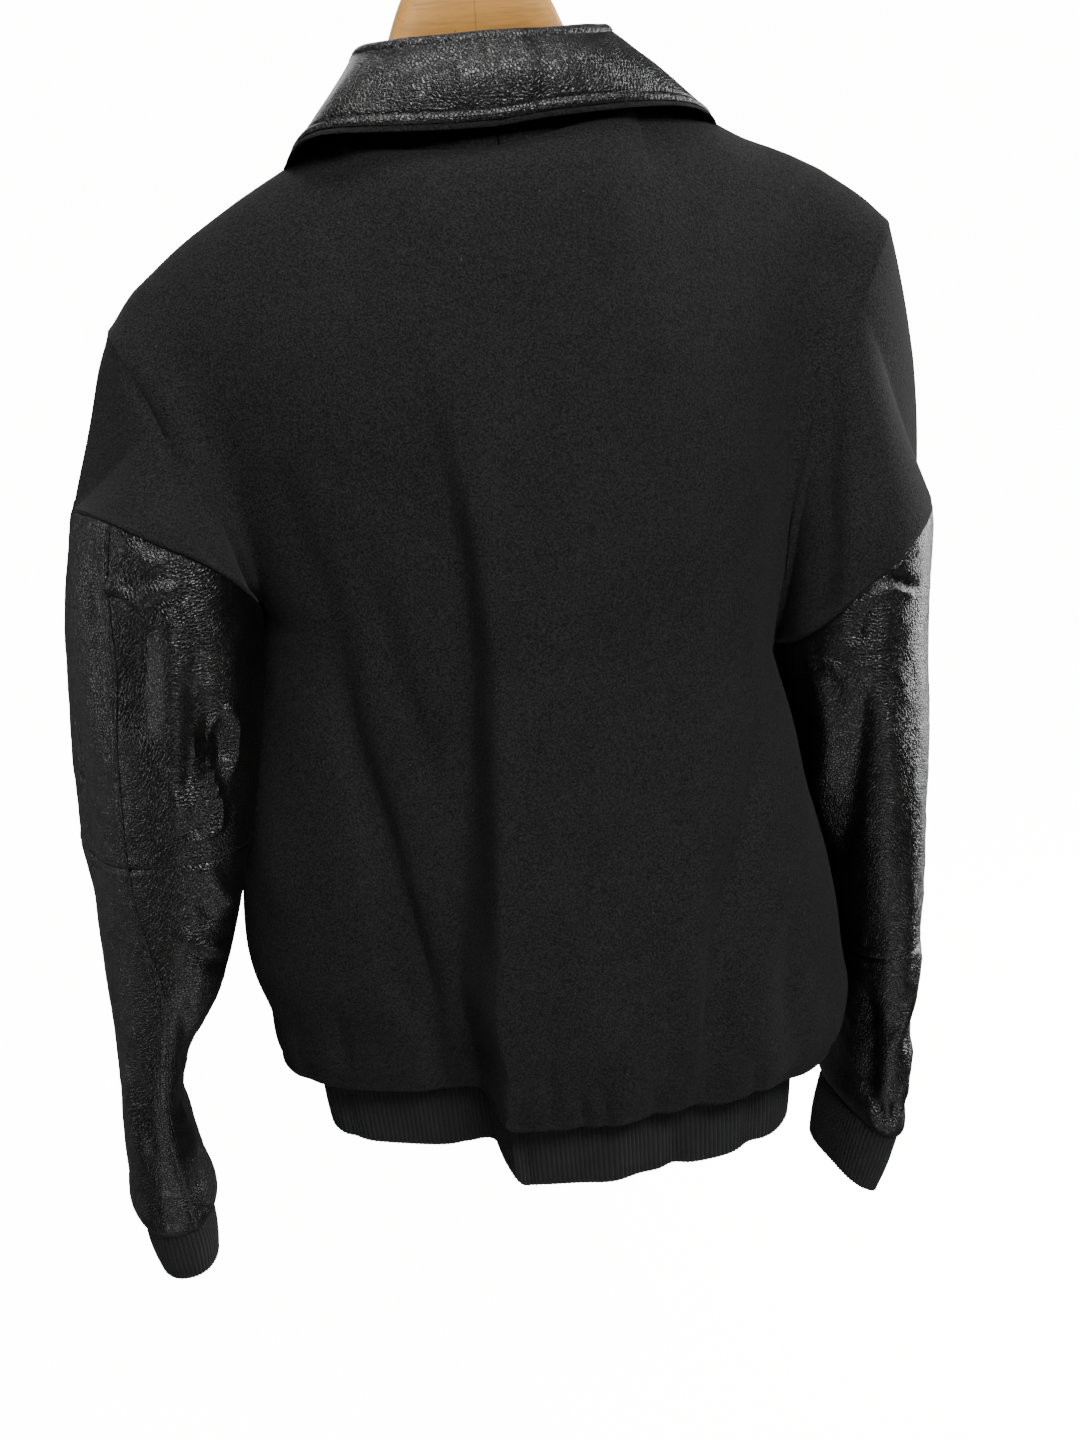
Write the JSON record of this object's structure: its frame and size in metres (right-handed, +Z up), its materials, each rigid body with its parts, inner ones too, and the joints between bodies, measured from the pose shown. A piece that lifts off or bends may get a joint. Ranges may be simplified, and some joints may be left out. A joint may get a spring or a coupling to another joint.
{
  "type": "varsity jacket and wooden hanger",
  "caption": "Waist-length snap-front jacket with leather sleeves, rib-knit cuffs and waistband, hanging open at neck and hem on a contoured wooden coat hanger.",
  "frame": {"origin": "inside top of the hanger's hook, the point of the wire that lies on the rail", "axes": "+X towards the wearer's left, +Y the wearer's back, +Z up; the hanger hangs with its left end about 4 degrees lower"},
  "size_m": [0.5728, 0.2419, 0.9242],
  "materials": {
    "wool": "felted black melton wool, matt",
    "leather": "black pebbled leather, satin",
    "rib_knit": "black two by two rib knit, matt",
    "snap_cap": "black enamelled cap, satin",
    "hanger_wood": "amber clear varnish, semi-gloss",
    "hook_steel": "polished"
  },
  "bodies": {
    "root": {"back": "wool", "front_left": "wool", "front_right": "wool", "sleeve_left_upper": "leather", "sleeve_left_lower": "leather", "sleeve_right_upper": "leather", "sleeve_right_lower": "leather", "seam_strip_left": "leather", "seam_strip_right": "leather", "collar": "leather", "under_collar_left": "wool", "under_collar_right": "wool", "waistband": "rib_knit", "cuff_left": "rib_knit", "cuff_right": "rib_knit", "snap_1": "snap_cap", "snap_2": "snap_cap", "snap_3": "snap_cap", "snap_4": "snap_cap", "snap_5": "snap_cap", "snap_6": "snap_cap", "snap_7": "snap_cap", "hanger": "hanger_wood", "hanger_hook": "hook_steel"}
  },
  "joints": []
}
